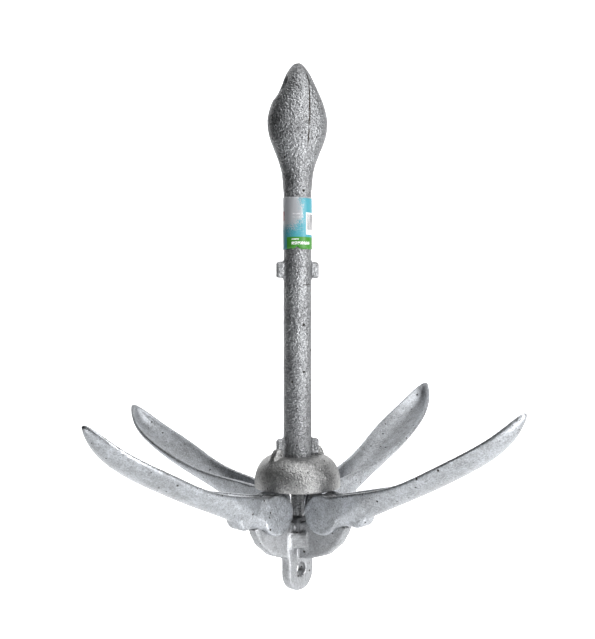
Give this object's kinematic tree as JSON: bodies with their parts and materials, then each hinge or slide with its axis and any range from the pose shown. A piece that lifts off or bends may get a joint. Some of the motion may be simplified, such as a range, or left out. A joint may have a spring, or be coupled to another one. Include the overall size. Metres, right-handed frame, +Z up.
{
  "type": "folding grapnel anchor",
  "caption": "Galvanised folding grapnel anchor with hinged scoop flukes, a sliding locking collar, a shackle eye and a trip-line eye.",
  "frame": {"origin": "middle of the shackle eye at the top of the shank, where the anchor hangs", "axes": "+Z up along the shank, away from the crown; the flukes lie midway between X and Y"},
  "size_m": [0.2741, 0.2752, 0.394],
  "materials": {
    "casting": "hot-dip galvanised, mottled",
    "rivet": "hot-dip galvanised",
    "label": "printed film"
  },
  "bodies": {
    "anchor": {"shank": "casting", "shank_label": "label", "crown": "casting", "crown_pin": "rivet"},
    "collar": {"locking_collar": "casting"},
    "fluke_front_left": {"fluke_front_left": "casting", "rivet_front_left": "rivet"},
    "fluke_front_right": {"fluke_front_right": "casting", "rivet_front_right": "rivet"},
    "fluke_back_right": {"fluke_back_right": "casting", "rivet_back_right": "rivet"},
    "fluke_back_left": {"fluke_back_left": "casting", "rivet_back_left": "rivet"}
  },
  "joints": [
    {"name": "collar_slide", "type": "slide", "parent": "anchor", "child": "collar", "axis": [0, 0, 1], "range_m": [0, 0.178]},
    {"name": "fluke_front_left_hinge", "type": "hinge", "parent": "anchor", "child": "fluke_front_left", "pos_m": [-0.02175, -0.01993, -0.3145], "axis": [-0.6756, 0.7373, 0], "range_deg": [0, 67.5]},
    {"name": "fluke_front_right_hinge", "type": "hinge", "parent": "anchor", "child": "fluke_front_right", "pos_m": [0.02086, -0.02086, -0.3145], "axis": [-0.7071, -0.7071, 0], "range_deg": [0, 65.5]},
    {"name": "fluke_back_right_hinge", "type": "hinge", "parent": "anchor", "child": "fluke_back_right", "pos_m": [0.02012, 0.02158, -0.3145], "axis": [0.7314, -0.682, 0], "range_deg": [0, 66]},
    {"name": "fluke_back_left_hinge", "type": "hinge", "parent": "anchor", "child": "fluke_back_left", "pos_m": [-0.02049, 0.02122, -0.3145], "axis": [0.7193, 0.6947, 0], "range_deg": [0, 72.5]}
  ],
  "couplings": [
    {"joint": "fluke_front_left_hinge", "follows": "collar_slide", "rad_per_m": 6.6185},
    {"joint": "fluke_front_right_hinge", "follows": "collar_slide", "rad_per_m": 6.4224},
    {"joint": "fluke_back_right_hinge", "follows": "collar_slide", "rad_per_m": 6.4714},
    {"joint": "fluke_back_left_hinge", "follows": "collar_slide", "rad_per_m": 7.1088}
  ]
}
